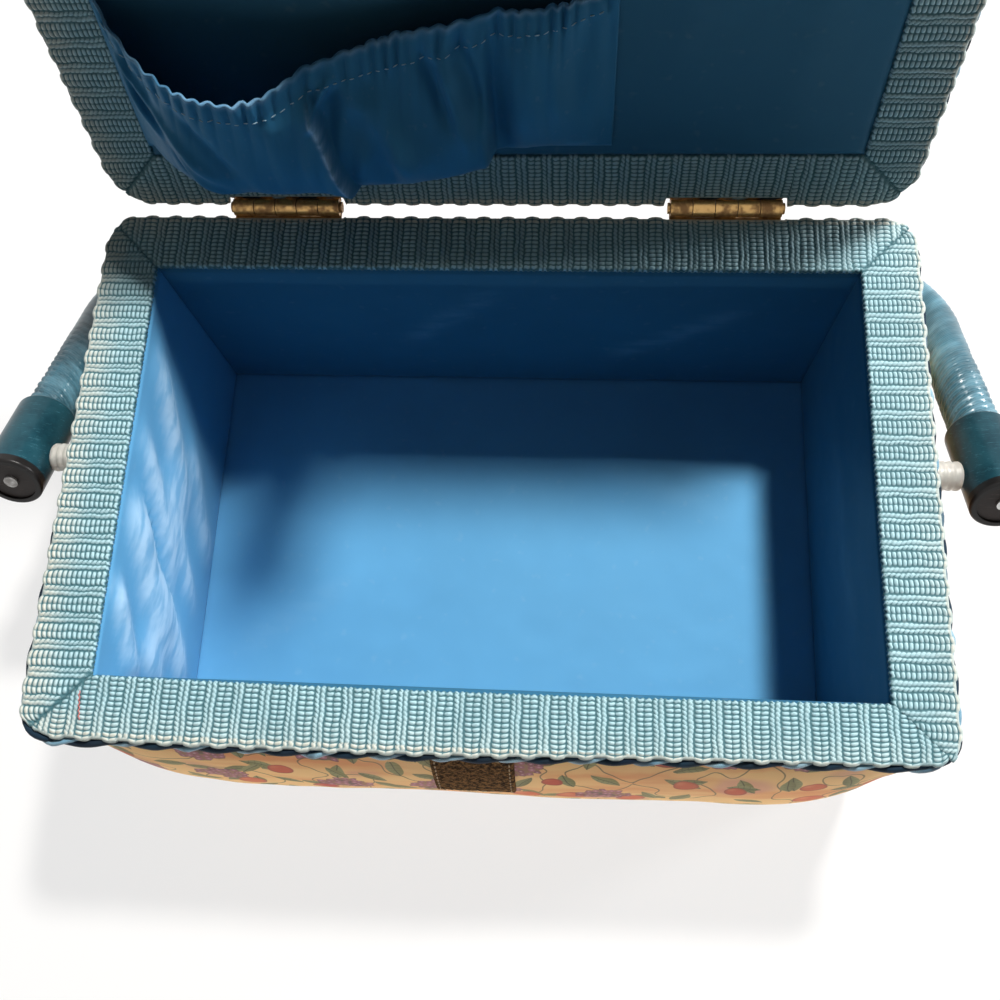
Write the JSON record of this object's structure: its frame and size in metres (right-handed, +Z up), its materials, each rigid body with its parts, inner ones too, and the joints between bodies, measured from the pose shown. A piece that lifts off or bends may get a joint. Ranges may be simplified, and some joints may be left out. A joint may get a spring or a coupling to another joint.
{
  "type": "sewing box",
  "caption": "Padded cloth-covered sewing box with braided rim, hinged padded lid with gathered pocket, and swinging bail handle.",
  "frame": {"origin": "middle of the face that the box stands on, under the box and not under its folded handle", "axes": "+X to the right seen from the front, +Y to the back where the lid is hinged, +Z up"},
  "size_m": [0.3468, 0.2563, 0.3048],
  "materials": {
    "wood_board": "plain plywood",
    "base_cloth": "plain woven, dark",
    "printed_cotton": "cotton printed with fruit and leaves on cream",
    "wadding": "polyester wadding",
    "blue_satin": "soft sheen",
    "gimp_braid": "ribbed gimp braid",
    "twisted_cord": "twisted navy and light blue cord",
    "loop_tape": "worn brown hook and loop tape",
    "elastic_web": "flat knitted elastic",
    "brass": "aged brass",
    "steel": "zinc plated",
    "teal_plastic": "moulded, scratched",
    "handle_cord": "glossy wound cord",
    "dark_plastic": "dark brown",
    "clear_plastic": "clear, slightly yellowed"
  },
  "bodies": {
    "box": {"bottom_panel": "base_cloth", "base_board": "wood_board", "front_board": "wood_board", "back_board": "wood_board", "left_board": "wood_board", "right_board": "wood_board", "floor_lining": "blue_satin", "front_lining": "blue_satin", "back_lining": "blue_satin", "left_lining": "blue_satin", "right_lining": "blue_satin", "front_padding": "wadding", "back_padding": "wadding", "left_padding": "wadding", "right_padding": "wadding", "body_cover": "printed_cotton", "closure_patch": "loop_tape", "rim_braid": "gimp_braid", "rim_cord": "twisted_cord", "left_hinge_body_leaf": "brass", "right_hinge_body_leaf": "brass", "left_hinge_pin": "brass", "right_hinge_pin": "brass", "body_hinge_screws": "brass", "handle_inserts": "brass", "handle_screws": "steel", "handle_spacers": "clear_plastic"},
    "lid": {"left_hinge_lid_leaf": "brass", "right_hinge_lid_leaf": "brass", "lid_hinge_screws": "brass", "lid_board": "wood_board", "lid_padding": "wadding", "lid_cover": "printed_cotton", "lid_lining": "blue_satin", "lid_braid": "gimp_braid", "lid_cord": "twisted_cord", "lid_pocket": "blue_satin", "pocket_elastic": "elastic_web"},
    "closure_tab": {"closure_tab": "printed_cotton", "tab_hook_patch": "loop_tape"},
    "handle": {"handle_core": "dark_plastic", "handle_wrap": "handle_cord", "left_ferrule": "teal_plastic", "right_ferrule": "teal_plastic", "end_caps": "dark_plastic", "cap_screws": "steel"}
  },
  "joints": [
    {"name": "lid_hinge", "type": "hinge", "parent": "box", "child": "lid", "pos_m": [0, 0.0945, 0.10375], "axis": [1, 0, 0], "range_deg": [0, 105]},
    {"name": "handle_swing", "type": "hinge", "parent": "box", "child": "handle", "pos_m": [0, 0.0025, 0.094], "axis": [1, 0, 0], "range_deg": [0, 117]},
    {"name": "closure_tab_lift", "type": "hinge", "parent": "lid", "child": "closure_tab", "pos_m": [0, 0.14295, 0.27976], "axis": [-1, 0, 0], "range_deg": [0, 60]}
  ],
  "couplings": [
    {"joint": "handle_swing", "follows": "lid_hinge", "ratio": 1.1143}
  ]
}
